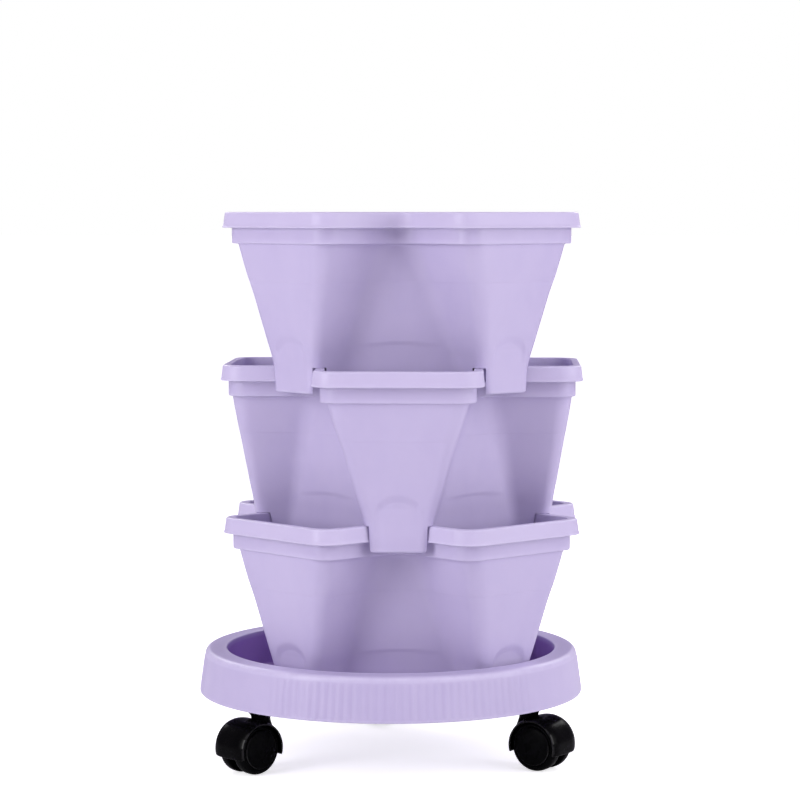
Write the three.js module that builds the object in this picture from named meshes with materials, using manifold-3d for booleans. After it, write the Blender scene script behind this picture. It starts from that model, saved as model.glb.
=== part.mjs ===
// A stacking planter tower: three identical four-lobed pots, each turned 45 degrees on the one
// below, standing in a round saucer that rolls on three hooded twin-wheel casters.
// Millimetres, +Z up. The origin is on the floor under the centre of the saucer.

import * as THREE from 'three';
import { mergeVertices } from 'three/addons/utils/BufferGeometryUtils.js';
import Module from 'manifold-3d';

const wasm = await Module();
wasm.setup();

// ---------------------------------------------------------------- driving dimensions
const CLEAR = 0.3;                 // gap between pieces that touch

// pot
const POT_HEIGHT = 174;
const POT_WALL = 2.5;
const POT_NEST = 25;               // depth that a pot sinks into the one below
const POT_PITCH = POT_HEIGHT - POT_NEST;
const POT_SHIFT_X = 13;            // the stack stands a little off the saucer's centre
const POT_BODY_TOP = 31;           // depth below the rim where the band ends and the body begins
const BODY_END_TOP = 166.7;        // lobe end distance from the axis at the body's top
const BODY_END_SLOPE = 0.169;      // how much it draws in for each mm down
const FOOT_END = 147.3;            // but no further than this: the foot in front of the lower rim is upright
const FOOT_CORNER = 7;
const BODY_HALF_WIDTH = [
  [31, 67.2], [45, 63], [60, 58.3], [80, 51.5], [95, 47.3], [110, 43.3], [128, 38.5], [140, 34.9], [152, 31.8], [174, 28],
];
const VALLEY_TOP = 109.5;          // distance of the valley faces from the axis
const VALLEY_BASE = 98;
const DRAIN_RADIUS = 4;
const DRAIN_RING = 52;

// lobe end distance, lobe half width, corner radius, valley distance, valley fillet
const RIM_TOP = [175.3, 80.3, 22, 121.5, 18.5];
const RIM_LIP = [178.1, 82.4, 22.5, 124.0, 17.5];
const BAND = [170, 74, 18.5, 114.6, 23.5];
const RIM_DEPTH = 15.3;            // how far the rim's skirt hangs down

// underside of each lobe, shaped to sit over the rim of the pot below
const NOTCH_INNER = 110.5;         // from the axis to the notch's inner face
const NOTCH_OUTER = 126;           // to its outer face, just clear of the lower rim's skirt
const NOTCH_FLAT_INNER = 11.5;     // half width of the straight stretch before the notch turns outwards
const NOTCH_FLAT_OUTER = 8.8;
const NOTCH_ROOF = POT_NEST + CLEAR;

// saucer
const FLOOR_TOP = 72.8;
const FLOOR_UNDER = 70.2;
const SAUCER_RADIUS = 191.5;
const SAUCER_BOTTOM = 66.5;
const SAUCER_TOP = 110;
const SAUCER_MOUTH = 164.3;
const SAUCER_SEGMENTS = 48;
const BOSS_RADIUS = 13;
const BOSS_BOTTOM = 60.8;
const RIB_COUNT = 12;
const RIB_BOTTOM = 63.5;
const RIB_THICKNESS = 2;

// casters
const CASTER_RING = 152;
const CASTER_ANGLES = { left: -54.4, right: 65.6, rear: 185.6 };    // from the front (-Y) towards +X
const TRAIL_ANGLES = { left: 225.6, right: 327.6, rear: 112 };       // where each wheel pair trails, from +X
const WHEEL_RADIUS = 25;
const WHEEL_SEGMENTS = 24;
const WHEEL_INNER = 5.6;           // inner and outer faces, from the caster's mid plane
const WHEEL_OUTER = 20.4;
const TRAIL = 15;
const HOOD_RADIUS = 28;
const HOOD_INNER = 26.2;
const HOOD_HALF_WIDTH = 21;
const HOOD_EDGE_DROP = 8;          // how far the hood's lower edges lie below the axle
const WEB_HALF_THICKNESS = 5;
const NECK_RADIUS = 9.5;
const NECK_TOP = 57.7;
const AXLE_RADIUS = 3;
const STEM_RADIUS = 3.5;
const STEM_TOP = 68.2;
const STEM_BOTTOM = 34;
const FLANGE_RADIUS = 15;

// ---------------------------------------------------------------- materials
const lavender = () => new THREE.MeshStandardMaterial({ color: 0xcdc2e5, roughness: 0.48, metalness: 0 });
const blackGloss = () => new THREE.MeshStandardMaterial({ color: 0x0c0c0e, roughness: 0.22, metalness: 0 });
const blackMatte = () => new THREE.MeshStandardMaterial({ color: 0x141416, roughness: 0.5, metalness: 0 });
const steel = () => new THREE.MeshStandardMaterial({ color: 0xb4b7bb, roughness: 0.3, metalness: 1 });

// ---------------------------------------------------------------- solids
function solid(geometry) {
  const merged = mergeVertices(stripped(geometry), 1e-4);
  return new wasm.Manifold(new wasm.Mesh({
    numProp: 3,
    vertProperties: new Float32Array(merged.attributes.position.array),
    triVerts: new Uint32Array(merged.index.array),
  }));
}

function geometryOf(manifold) {
  const mesh = manifold.getMesh();
  const g = new THREE.BufferGeometry();
  g.setAttribute('position', new THREE.BufferAttribute(new Float32Array(mesh.vertProperties), 3));
  g.setIndex(new THREE.BufferAttribute(new Uint32Array(mesh.triVerts), 1));
  g.computeVertexNormals();
  return g;
}

function moved(geometry, matrix) {
  return geometry.clone().applyMatrix4(matrix);
}

// lathe about Z from [radius, height] pairs that close on themselves or end on the axis
function lathe(profile, segments, phase = 0) {
  const g = new THREE.LatheGeometry(profile.map(([r, z]) => new THREE.Vector2(r, z)), segments, phase);
  g.rotateX(Math.PI / 2);
  return outward(g);
}

function outward(g) {
  const merged = mergeVertices(stripped(g), 1e-4);
  const p = merged.attributes.position;
  const idx = merged.index.array;
  const kept = [];
  let volume = 0;
  const a = new THREE.Vector3(), b = new THREE.Vector3(), c = new THREE.Vector3();
  for (let i = 0; i < idx.length; i += 3) {
    if (idx[i] === idx[i + 1] || idx[i + 1] === idx[i + 2] || idx[i] === idx[i + 2]) continue;
    kept.push(idx[i], idx[i + 1], idx[i + 2]);
    a.fromBufferAttribute(p, idx[i]);
    b.fromBufferAttribute(p, idx[i + 1]);
    c.fromBufferAttribute(p, idx[i + 2]);
    volume += a.dot(b.clone().cross(c));
  }
  if (volume < 0) for (let i = 0; i < kept.length; i += 3) [kept[i + 1], kept[i + 2]] = [kept[i + 2], kept[i + 1]];
  merged.setIndex(kept);
  merged.computeVertexNormals();
  return merged;
}

function stripped(g) {
  const s = g.clone();
  s.deleteAttribute('normal');
  s.deleteAttribute('uv');
  return s;
}

// an upright prism on a plan outline of [x, y] pairs
function prism(outline, z0, z1) {
  const shape = new THREE.Shape(outline.map(([x, y]) => new THREE.Vector2(x, y)));
  const g = new THREE.ExtrudeGeometry(shape, { depth: z1 - z0, bevelEnabled: false });
  g.translate(0, 0, z0);
  return g;
}

// closed skin through a list of rings with the same number of points, capped at both ends
function loft(rings) {
  const n = rings[0].length;
  const verts = [];
  for (const ring of rings) for (const v of ring) verts.push(v[0], v[1], v[2]);
  const tris = [];
  for (let k = 0; k + 1 < rings.length; k++) {
    for (let i = 0; i < n; i++) {
      const j = (i + 1) % n;
      const a = k * n + i, b = k * n + j, c = (k + 1) * n + i, d = (k + 1) * n + j;
      tris.push(a, b, d, a, d, c);
    }
  }
  const cap = (k, flip) => {
    const pts = rings[k].map((v) => new THREE.Vector2(v[0], v[1]));
    for (const [a, b, c] of THREE.ShapeUtils.triangulateShape(pts, [])) {
      if (flip) tris.push(k * n + a, k * n + c, k * n + b);
      else tris.push(k * n + a, k * n + b, k * n + c);
    }
  };
  cap(0, true);
  cap(rings.length - 1, false);
  const g = new THREE.BufferGeometry();
  g.setAttribute('position', new THREE.BufferAttribute(new Float32Array(verts), 3));
  g.setIndex(tris);
  return outward(g);
}

// ---------------------------------------------------------------- pot
const CORNER_STEPS = 2;
const FILLET_STEPS = 2;

// plan outline of the four-lobed section, anticlockwise, at height z
function lobedRing([end, half, corner, valley, fillet], z) {
  const pts = [];
  const tangent = fillet * Math.tan(Math.PI / 8);
  const joinX = valley * Math.SQRT2 - half;              // where a lobe's side meets the valley face
  for (let lobe = 0; lobe < 4; lobe++) {
    const octant = [];
    for (let i = 0; i <= CORNER_STEPS; i++) {
      const a = (i / CORNER_STEPS) * Math.PI / 2;
      octant.push([end - corner + corner * Math.cos(a), half - corner + corner * Math.sin(a)]);
    }
    const cx = joinX + tangent, cy = half + fillet;      // centre of the fillet's arc
    for (let i = 0; i <= FILLET_STEPS; i++) {
      const a = -Math.PI / 2 - (i / FILLET_STEPS) * Math.PI / 4;
      octant.push([cx + fillet * Math.cos(a), cy + fillet * Math.sin(a)]);
    }
    const whole = octant.map(([x, y]) => [x, -y]).reverse().concat(octant);
    const c = Math.cos(lobe * Math.PI / 2), s = Math.sin(lobe * Math.PI / 2);
    for (const [x, y] of whole) pts.push([c * x - s * y, s * x + c * y, z]);
  }
  return pts;
}

const inset = ([end, half, corner, valley, fillet], d) =>
  [end - d, half - d, Math.max(corner - d, 1.5), valley - d, fillet + d];

function mix(table, t) {
  for (let i = 0; i + 1 < table.length; i++) {
    const [t0, v0] = table[i], [t1, v1] = table[i + 1];
    if (t <= t1) return v0 + (v1 - v0) * (t - t0) / (t1 - t0);
  }
  return table[table.length - 1][1];
}

// the body's section at depth t below the rim
function bodySection(t) {
  const f = (t - POT_BODY_TOP) / (POT_HEIGHT - POT_BODY_TOP);
  return [
    Math.max(BODY_END_TOP - BODY_END_SLOPE * (t - POT_BODY_TOP), FOOT_END),
    mix(BODY_HALF_WIDTH, t),
    mix([[31, 17], [60, 14], [100, 12], [150, 11], [POT_HEIGHT, FOOT_CORNER]], t),
    VALLEY_TOP + (VALLEY_BASE - VALLEY_TOP) * f,
    33 - 19 * f,
  ];
}

function potShell() {
  const at = (section, t) => lobedRing(section, POT_HEIGHT - t);
  const rings = [];
  rings.push(at(inset(bodySection(POT_HEIGHT), 2), POT_HEIGHT));
  for (const t of [POT_HEIGHT - 2, 150, 112, 75, 48, POT_BODY_TOP]) rings.push(at(bodySection(t), t));
  rings.push(at(inset(BAND, 0.5), 29.5));
  rings.push(at(BAND, POT_WALL));
  rings.push(at(inset(RIM_TOP, POT_WALL), POT_WALL));
  rings.push(at(inset(RIM_LIP, POT_WALL), RIM_DEPTH));
  rings.push(at(RIM_LIP, RIM_DEPTH));
  rings.push(at(RIM_TOP, 0));
  rings.push(at(inset(BAND, POT_WALL), 0));
  rings.push(at(inset(BAND, POT_WALL + 0.5), 28));
  for (const t of [POT_BODY_TOP - 2, 48, 75, 112, 150]) rings.push(at(inset(bodySection(Math.max(t, 31)), POT_WALL), t));
  rings.push(at(inset(bodySection(POT_HEIGHT - 3), POT_WALL), POT_HEIGHT - POT_WALL));
  return loft(rings);
}

// the body's volume drawn in by d, from height z0 to z1
function bodyCore(d, z0, z1) {
  const rings = [];
  for (const z of [z0, z1]) rings.push(lobedRing(inset(bodySection(Math.min(POT_HEIGHT - z, POT_HEIGHT)), d), z));
  return loft(rings);
}

// the plan region that lies further out than the notch face at distance from the axis
function beyondNotch(from, flat) {
  const reach = 60;
  return [
    [from, -flat], [from + (reach - flat), -reach], [260, -reach],
    [260, reach], [from + (reach - flat), reach], [from, flat],
  ];
}

function potGeometry() {
  let pot = solid(potShell());
  const core = solid(bodyCore(POT_WALL / 2, 0.6, NOTCH_ROOF + POT_WALL));
  const hollow = solid(bodyCore(POT_WALL, -1, NOTCH_ROOF));
  for (let lobe = 0; lobe < 4; lobe++) {
    const turn = new THREE.Matrix4().makeRotationZ(lobe * Math.PI / 2);
    const block = solid(moved(prism(beyondNotch(NOTCH_INNER - POT_WALL, NOTCH_FLAT_INNER + 1), 0.6, NOTCH_ROOF + POT_WALL), turn));
    pot = pot.add(block.intersect(core));
  }
  for (let lobe = 0; lobe < 4; lobe++) {
    const turn = new THREE.Matrix4().makeRotationZ(lobe * Math.PI / 2);
    const beyond = solid(moved(prism(beyondNotch(NOTCH_INNER, NOTCH_FLAT_INNER), -1, NOTCH_ROOF), turn));
    pot = pot.subtract(beyond.intersect(hollow));
    const a = NOTCH_INNER, b = NOTCH_OUTER, fa = NOTCH_FLAT_INNER, fb = NOTCH_FLAT_OUTER, reach = 45;
    const band = [
      [a, fa], [a + (reach - fa), reach], [b + (reach - fb), reach], [b, fb],
      [b, -fb], [b + (reach - fb), -reach], [a + (reach - fa), -reach], [a, -fa],
    ];
    pot = pot.subtract(solid(moved(prism(band, -1, NOTCH_ROOF), turn)));
  }
  // drain holes: one in the middle and four around it
  const drills = [[0, 0]];
  for (let i = 0; i < 4; i++) drills.push([DRAIN_RING * Math.cos(i * Math.PI / 2), DRAIN_RING * Math.sin(i * Math.PI / 2)]);
  for (const [x, y] of drills) {
    const drill = new THREE.CylinderGeometry(DRAIN_RADIUS, DRAIN_RADIUS, 8, 10);
    drill.rotateX(Math.PI / 2);
    drill.translate(x, y, 1);
    pot = pot.subtract(solid(drill));
  }
  return geometryOf(pot);
}

// ---------------------------------------------------------------- saucer
function saucerGeometry() {
  const profile = [
    [0, FLOOR_UNDER], [SAUCER_MOUTH + 0.9, FLOOR_UNDER], [SAUCER_MOUTH + 2.6, SAUCER_TOP - 2.5],
    [182.3, SAUCER_TOP - 2.5], [184.2, SAUCER_TOP - 6.2], [SAUCER_RADIUS - 2.6, SAUCER_BOTTOM],
    [SAUCER_RADIUS, SAUCER_BOTTOM], [186.3, 103.8], [184.9, 107.8], [181.8, SAUCER_TOP],
    [SAUCER_MOUTH + 0.9, SAUCER_TOP], [SAUCER_MOUTH, SAUCER_TOP - 1], [SAUCER_MOUTH - 1.7, FLOOR_TOP],
    [0, FLOOR_TOP],
  ];
  let saucer = solid(lathe(profile, SAUCER_SEGMENTS));
  // stiffening ribs under the floor
  for (let i = 0; i < RIB_COUNT; i++) {
    const rib = new THREE.BoxGeometry(SAUCER_MOUTH - 22, RIB_THICKNESS, FLOOR_UNDER + 1 - RIB_BOTTOM);
    rib.translate(20 + (SAUCER_MOUTH - 22) / 2, 0, (RIB_BOTTOM + FLOOR_UNDER + 1) / 2);
    rib.rotateZ((i + 0.5) * 2 * Math.PI / RIB_COUNT);
    saucer = saucer.add(solid(rib));
  }
  const hub = lathe([[20, RIB_BOTTOM], [23, RIB_BOTTOM], [23, FLOOR_UNDER + 1], [20, FLOOR_UNDER + 1], [20, RIB_BOTTOM]], 24);
  saucer = saucer.add(solid(hub));
  for (const angle of Object.values(CASTER_ANGLES)) {
    const [x, y] = casterPlace(angle);
    const boss = new THREE.CylinderGeometry(BOSS_RADIUS, BOSS_RADIUS, FLOOR_UNDER + 1 - BOSS_BOTTOM, 16);
    boss.rotateX(Math.PI / 2);
    boss.translate(x, y, (FLOOR_UNDER + 1 + BOSS_BOTTOM) / 2);
    saucer = saucer.add(solid(boss));
    const hole = new THREE.CylinderGeometry(7.7, 7.7, FLOOR_UNDER + 0.2 - (BOSS_BOTTOM - 8), 16);
    hole.rotateX(Math.PI / 2);
    hole.translate(x, y, (FLOOR_UNDER + 0.2 + BOSS_BOTTOM - 8) / 2);
    saucer = saucer.subtract(solid(hole));
  }
  return geometryOf(saucer);
}

// ---------------------------------------------------------------- caster
function casterPlace(angle) {
  const a = angle * Math.PI / 180;
  return [CASTER_RING * Math.sin(a), -CASTER_RING * Math.cos(a)];
}

// The caster's own frame: swivel axis on Z, wheels trail towards +X, axle along Y.
function hoodGeometry() {
  const edge = Math.asin(HOOD_EDGE_DROP / HOOD_RADIUS);
  const steps = 16;
  const outline = [];
  for (let i = 0; i <= steps; i++) {
    const a = -edge + (Math.PI + 2 * edge) * i / steps;
    outline.push([HOOD_RADIUS * Math.cos(a), HOOD_RADIUS * Math.sin(a)]);
  }
  const innerEdge = Math.asin(HOOD_EDGE_DROP / HOOD_INNER);
  for (let i = steps; i >= 0; i--) {
    const a = -innerEdge + (Math.PI + 2 * innerEdge) * i / steps;
    outline.push([HOOD_INNER * Math.cos(a), HOOD_INNER * Math.sin(a)]);
  }
  const stand = (g) => { g.rotateX(Math.PI / 2); return g; };       // plan Y becomes height
  const across = (points, half) => {
    const g = new THREE.ExtrudeGeometry(new THREE.Shape(points.map(([x, y]) => new THREE.Vector2(x, y))), { depth: 2 * half, bevelEnabled: false });
    g.translate(0, 0, -half);
    stand(g);
    g.translate(TRAIL, 0, WHEEL_RADIUS);
    return g;
  };
  let hood = solid(across(outline, HOOD_HALF_WIDTH));
  // centre web that carries the axle and the stem
  const web = [];
  for (let i = 0; i <= steps; i++) {
    const a = -innerEdge + (Math.PI + 2 * innerEdge) * i / steps;
    web.push([(HOOD_INNER + 0.8) * Math.cos(a), (HOOD_INNER + 0.8) * Math.sin(a)]);
  }
  hood = hood.add(solid(across(web, WEB_HALF_THICKNESS)));
  // neck round the stem, kept out of the wheels' room
  const neck = new THREE.CylinderGeometry(NECK_RADIUS, NECK_RADIUS, NECK_TOP - 42, 18);
  neck.rotateX(Math.PI / 2);
  neck.translate(0, 0, (NECK_TOP + 42) / 2);
  const room = new THREE.CylinderGeometry(HOOD_INNER + 0.8, HOOD_INNER + 0.8, 2 * HOOD_HALF_WIDTH, 36);
  room.translate(TRAIL, 0, WHEEL_RADIUS);
  hood = hood.add(solid(neck).subtract(solid(room)));
  const stemHole = new THREE.CylinderGeometry(STEM_RADIUS + CLEAR, STEM_RADIUS + CLEAR, 40, 12);
  stemHole.rotateX(Math.PI / 2);
  stemHole.translate(0, 0, STEM_BOTTOM - CLEAR + 20);
  hood = hood.subtract(solid(stemHole));
  const axleHole = new THREE.CylinderGeometry(AXLE_RADIUS + CLEAR, AXLE_RADIUS + CLEAR, 40, 12);
  axleHole.translate(TRAIL, 0, WHEEL_RADIUS);
  hood = hood.subtract(solid(axleHole));
  return geometryOf(hood);
}

// a wheel as a lathe about Y, its inner face at WHEEL_INNER and its disc outwards (side = 1 or -1)
function wheelGeometry(side) {
  const flat = WHEEL_RADIUS / Math.cos(Math.PI / WHEEL_SEGMENTS);    // flats at the true radius
  const bore = AXLE_RADIUS + CLEAR;
  const profile = [
    [0, 19.1], [bore, 19.1], [bore, WHEEL_INNER], [flat - 1.5, WHEEL_INNER], [flat, WHEEL_INNER + 1.5],
    [flat, WHEEL_OUTER - 3.5], [flat - 3, WHEEL_OUTER - 0.6], [flat - 6, WHEEL_OUTER - 1.2], [0, WHEEL_OUTER],
  ];
  const g = lathe(profile, WHEEL_SEGMENTS, Math.PI / WHEEL_SEGMENTS);   // about Z, discs facing +Z
  g.rotateX(side > 0 ? -Math.PI / 2 : Math.PI / 2);                    // about Y
  return outward(g);
}

function stemGeometry() {
  return lathe([
    [0, STEM_BOTTOM], [STEM_RADIUS, STEM_BOTTOM], [STEM_RADIUS, STEM_TOP - 4], [STEM_RADIUS - 0.7, STEM_TOP - 3.6],
    [STEM_RADIUS - 0.7, STEM_TOP - 2.4], [STEM_RADIUS, STEM_TOP - 2], [STEM_RADIUS - 0.8, STEM_TOP], [0, STEM_TOP],
  ], 12);
}

function socketGeometry() {
  const hole = STEM_RADIUS + CLEAR;
  return lathe([
    [hole, NECK_TOP + CLEAR], [11, NECK_TOP + CLEAR], [FLANGE_RADIUS, 59.2], [FLANGE_RADIUS, BOSS_BOTTOM - CLEAR],
    [7.2, BOSS_BOTTOM - CLEAR], [7.2, 68.6], [hole, 68.6], [hole, NECK_TOP + CLEAR],
  ], 16);
}

function axleGeometry() {
  const g = new THREE.CylinderGeometry(AXLE_RADIUS, AXLE_RADIUS, 37, 12);
  return g;
}

// ---------------------------------------------------------------- assembly
const tower = new THREE.Group();
tower.name = 'planter_tower';

function piece(name, geometry, material, parent = tower) {
  const mesh = new THREE.Mesh(geometry, material);
  mesh.name = name;
  parent.add(mesh);
  return mesh;
}

piece('saucer', saucerGeometry(), lavender());

const stack = new THREE.Group();
stack.position.set(POT_SHIFT_X, 0, FLOOR_TOP + CLEAR);
tower.add(stack);
const potShape = potGeometry();
['pot_bottom', 'pot_middle', 'pot_top'].forEach((name, i) => {
  const pot = piece(name, potShape, lavender(), stack);
  pot.position.z = i * POT_PITCH;
  pot.rotation.z = i % 2 === 0 ? Math.PI / 4 : 0;
});

const hood = hoodGeometry();
const wheels = { outer: wheelGeometry(1), inner: wheelGeometry(-1) };
const stem = stemGeometry();
const socket = socketGeometry();
const axle = axleGeometry();
for (const [where, angle] of Object.entries(CASTER_ANGLES)) {
  const caster = new THREE.Group();
  const [x, y] = casterPlace(angle);
  caster.position.set(x, y, 0);
  caster.rotation.z = TRAIL_ANGLES[where] * Math.PI / 180;
  tower.add(caster);
  piece(`${where}_caster_socket`, socket, blackMatte(), caster);
  piece(`${where}_caster_stem`, stem, steel(), caster);
  piece(`${where}_caster_hood`, hood, blackGloss(), caster);
  const pin = piece(`${where}_caster_axle`, axle, steel(), caster);
  pin.position.set(TRAIL, 0, WHEEL_RADIUS);
  for (const [side, geometry] of [['a', wheels.outer], ['b', wheels.inner]]) {
    const wheel = piece(`${where}_caster_wheel_${side}`, geometry, blackGloss(), caster);
    wheel.position.set(TRAIL, 0, WHEEL_RADIUS);
  }
}

export default tower;
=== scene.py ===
import math

import bmesh
import bpy
import numpy as np
from mathutils import Matrix, Vector


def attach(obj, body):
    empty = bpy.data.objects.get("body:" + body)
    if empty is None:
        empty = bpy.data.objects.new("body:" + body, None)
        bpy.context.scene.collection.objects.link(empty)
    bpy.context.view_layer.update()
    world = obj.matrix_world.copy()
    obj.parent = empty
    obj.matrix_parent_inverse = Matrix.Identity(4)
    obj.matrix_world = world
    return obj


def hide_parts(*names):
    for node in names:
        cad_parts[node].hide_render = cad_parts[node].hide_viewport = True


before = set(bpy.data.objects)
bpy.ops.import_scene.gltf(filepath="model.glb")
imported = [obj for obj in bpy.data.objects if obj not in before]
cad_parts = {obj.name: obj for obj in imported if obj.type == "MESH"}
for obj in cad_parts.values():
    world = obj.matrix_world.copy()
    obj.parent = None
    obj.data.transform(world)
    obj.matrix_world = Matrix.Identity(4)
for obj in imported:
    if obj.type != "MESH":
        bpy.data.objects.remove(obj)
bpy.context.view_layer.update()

# Lengths in this file are millimetres until a mesh is made. They repeat the CAD model's driving dimensions.
MM = 0.001

# ------------------------------------------------------------------ dimensions
POT_HEIGHT = 174.0
POT_WALL = 2.5
POT_PITCH = 149.0
POT_SHIFT_X = 13.0
POT_FIRST_BASE = 73.1
BODY_TOP = 31.0
BODY_END_TOP = 166.7
BODY_END_SLOPE = 0.169
FOOT_END = 147.3
BODY_HALF_WIDTH = [(31, 67.2), (45, 63), (60, 58.3), (80, 51.5), (95, 47.3), (110, 43.3), (128, 38.5), (140, 34.9), (152, 31.8), (174, 28)]
BODY_CORNER = [(31, 17), (60, 14), (100, 12), (150, 11), (174, 7)]
VALLEY_TOP, VALLEY_BASE = 109.5, 98.0
RIM_TOP = (175.3, 80.3, 22.0, 121.5, 18.5)
RIM_LIP = (178.1, 82.4, 22.5, 124.0, 17.5)
BAND = (170.0, 74.0, 18.5, 114.6, 23.5)
RIM_DEPTH = 15.3
NOTCH_INNER, NOTCH_OUTER = 110.5, 126.0
NOTCH_FLAT_INNER, NOTCH_FLAT_OUTER = 11.5, 8.8
NOTCH_ROOF = 25.3
DRAIN_RADIUS, DRAIN_RING = 4.0, 52.0

FLOOR_TOP, FLOOR_UNDER = 72.8, 70.2
CASTER_RING = 152.0
CASTERS = {"left": (-54.4, 225.6), "right": (65.6, 327.6), "rear": (185.6, 112.0)}
WHEEL_RADIUS = 25.0
TRAIL = 15.0
HOOD_RADIUS = 28.0
HOOD_HALF_WIDTH = 21.0
HOOD_EDGE_DROP = 8.0


# ------------------------------------------------------------------ mesh helpers
def link(name, mesh):
    obj = bpy.data.objects.new(name, mesh)
    bpy.context.scene.collection.objects.link(obj)
    return obj


def mesh_object(name, verts, faces):
    """A mesh from points in millimetres, turned so that its faces point out."""
    v = np.asarray(verts, float) * MM
    mesh = bpy.data.meshes.new(name)
    mesh.from_pydata(v.tolist(), [], [tuple(int(i) for i in f) for f in faces])
    mesh.update()
    volume = 0.0
    mesh.calc_loop_triangles()
    tri = np.zeros(len(mesh.loop_triangles) * 3, np.int32)
    mesh.loop_triangles.foreach_get("vertices", tri)
    t = v[tri.reshape(-1, 3)]
    volume = np.einsum("ij,ij->i", t[:, 0], np.cross(t[:, 1], t[:, 2])).sum()
    if volume < 0:
        mesh.flip_normals()
    return link(name, mesh)


def drop(obj):
    data = obj.data
    bpy.data.objects.remove(obj)
    bpy.data.meshes.remove(data)


def boolean(obj, tool, operation, keep=False):
    mod = obj.modifiers.new("cut", "BOOLEAN")
    mod.object = tool
    mod.operation = operation
    mod.solver = "MANIFOLD"
    bpy.context.view_layer.update()
    graph = bpy.context.evaluated_depsgraph_get()
    made = bpy.data.meshes.new_from_object(obj.evaluated_get(graph))
    obj.modifiers.clear()
    old = obj.data
    obj.data = made
    bpy.data.meshes.remove(old)
    if not keep:
        drop(tool)
    if len(obj.data.polygons) == 0:
        raise RuntimeError("a boolean left nothing of " + obj.name)
    return obj


def finish_surface(obj, angle=34.0, merge=0.004):
    """Joins points that fall together, shades smooth and keeps real edges crisp."""
    bm = bmesh.new()
    bm.from_mesh(obj.data)
    bmesh.ops.remove_doubles(bm, verts=bm.verts, dist=merge * MM)
    bmesh.ops.dissolve_degenerate(bm, edges=bm.edges, dist=merge * MM)
    loose = [v for v in bm.verts if not v.link_faces]
    if loose:
        bmesh.ops.delete(bm, geom=loose, context="VERTS")
    bmesh.ops.recalc_face_normals(bm, faces=bm.faces)
    bm.to_mesh(obj.data)
    bm.free()
    obj.data.shade_smooth()
    obj.data.set_sharp_from_angle(angle=math.radians(angle))
    return obj


def loft(rings, closed_top=True, closed_bottom=True):
    """Points and faces of a skin through rings of equal length. An end is closed with a fan on its middle point."""
    rings = [np.asarray(r, float) for r in rings]
    n = len(rings[0])
    verts = np.vstack(rings)
    faces = []
    idx = np.arange(n)
    nxt = (idx + 1) % n
    for k in range(len(rings) - 1):
        a, b = k * n + idx, k * n + nxt
        c, d = (k + 1) * n + nxt, (k + 1) * n + idx
        faces += list(zip(a, b, c, d))
    extra = []
    if closed_bottom:
        extra.append(rings[0].mean(0))
        m = len(verts)
        faces += [(m, j, i) for i, j in zip(idx, nxt)]
    if closed_top:
        extra.append(rings[-1].mean(0))
        m = len(verts) + (1 if closed_bottom else 0)
        base = (len(rings) - 1) * n
        faces += [(m, base + i, base + j) for i, j in zip(idx, nxt)]
    if extra:
        verts = np.vstack([verts] + [np.array(extra)])
    return verts, faces


def lathe(name, profile, segments, wave=None):
    """A closed turned body about Z from (radius, height) pairs. A pair on the axis becomes one point."""
    angles = np.arange(segments) * 2 * math.pi / segments
    verts, faces, rows = [], [], []
    for r, z in profile:
        if r < 1e-6:
            rows.append([len(verts)])
            verts.append((0, 0, z))
        else:
            start = len(verts)
            rr = r if wave is None else r + wave(angles, r, z)
            pts = np.stack([rr * np.cos(angles), rr * np.sin(angles), np.full(segments, z)], 1)
            verts += [tuple(p) for p in pts]
            rows.append(list(range(start, start + segments)))
    closed = len(rows[0]) > 1 and len(rows[-1]) > 1
    pairs = list(zip(rows, rows[1:])) + ([(rows[-1], rows[0])] if closed else [])
    for a, b in pairs:
        for i in range(segments):
            j = (i + 1) % segments
            if len(a) == 1 and len(b) == 1:
                continue
            if len(a) == 1:
                faces.append((a[0], b[j], b[i]))
            elif len(b) == 1:
                faces.append((a[i], a[j], b[0]))
            else:
                faces.append((a[i], a[j], b[j], b[i]))
    return mesh_object(name, verts, faces)


def prism(name, outline, z0, z1):
    n = len(outline)
    verts = [(x, y, z0) for x, y in outline] + [(x, y, z1) for x, y in outline]
    faces = [tuple(range(n - 1, -1, -1)), tuple(range(n, 2 * n))]
    faces += [(i, (i + 1) % n, n + (i + 1) % n, n + i) for i in range(n)]
    return mesh_object(name, verts, faces)


def joined(name, objs):
    """One mesh from several closed bodies that don't touch."""
    bm = bmesh.new()
    for o in objs:
        bm.from_mesh(o.data)
    mesh = bpy.data.meshes.new(name)
    bm.to_mesh(mesh)
    bm.free()
    for o in objs:
        drop(o)
    return link(name, mesh)


def transform_mm(obj, matrix):
    m = matrix.copy()
    for i in range(3):
        m[i][3] *= MM
    obj.data.transform(m)
    obj.data.update()
    return obj


def arc(cx, cy, r, a0, a1, steps):
    """Points on an arc in a plane, angles in degrees, both ends included."""
    return [(cx + r * math.cos(math.radians(a0 + (a1 - a0) * i / steps)), cy + r * math.sin(math.radians(a0 + (a1 - a0) * i / steps))) for i in range(steps + 1)]


def smooth(x):
    x = np.clip(x, 0.0, 1.0)
    return x * x * (3 - 2 * x)


# ------------------------------------------------------------------ pot
def table(rows, t):
    return float(np.interp(t, [r[0] for r in rows], [r[1] for r in rows]))


def body_section(t):
    f = (t - BODY_TOP) / (POT_HEIGHT - BODY_TOP)
    end = BODY_END_TOP - BODY_END_SLOPE * (t - BODY_TOP)
    # the taper runs softly into the upright foot
    soft = 3.0
    gap = end - FOOT_END
    end = FOOT_END + 0.5 * (gap + math.sqrt(gap * gap + 0.5 * soft)) if gap > -20 else FOOT_END
    return (end, table(BODY_HALF_WIDTH, t), table(BODY_CORNER, t), VALLEY_TOP + (VALLEY_BASE - VALLEY_TOP) * f, 33 - 19 * f)


def inset(section, d):
    end, half, corner, valley, fillet = section
    return (end - d, half - d, max(corner - d, 1.5), valley - d, fillet + d)


def blend_sections(a, b, w):
    return tuple(x + (y - x) * w for x, y in zip(a, b))


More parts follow.
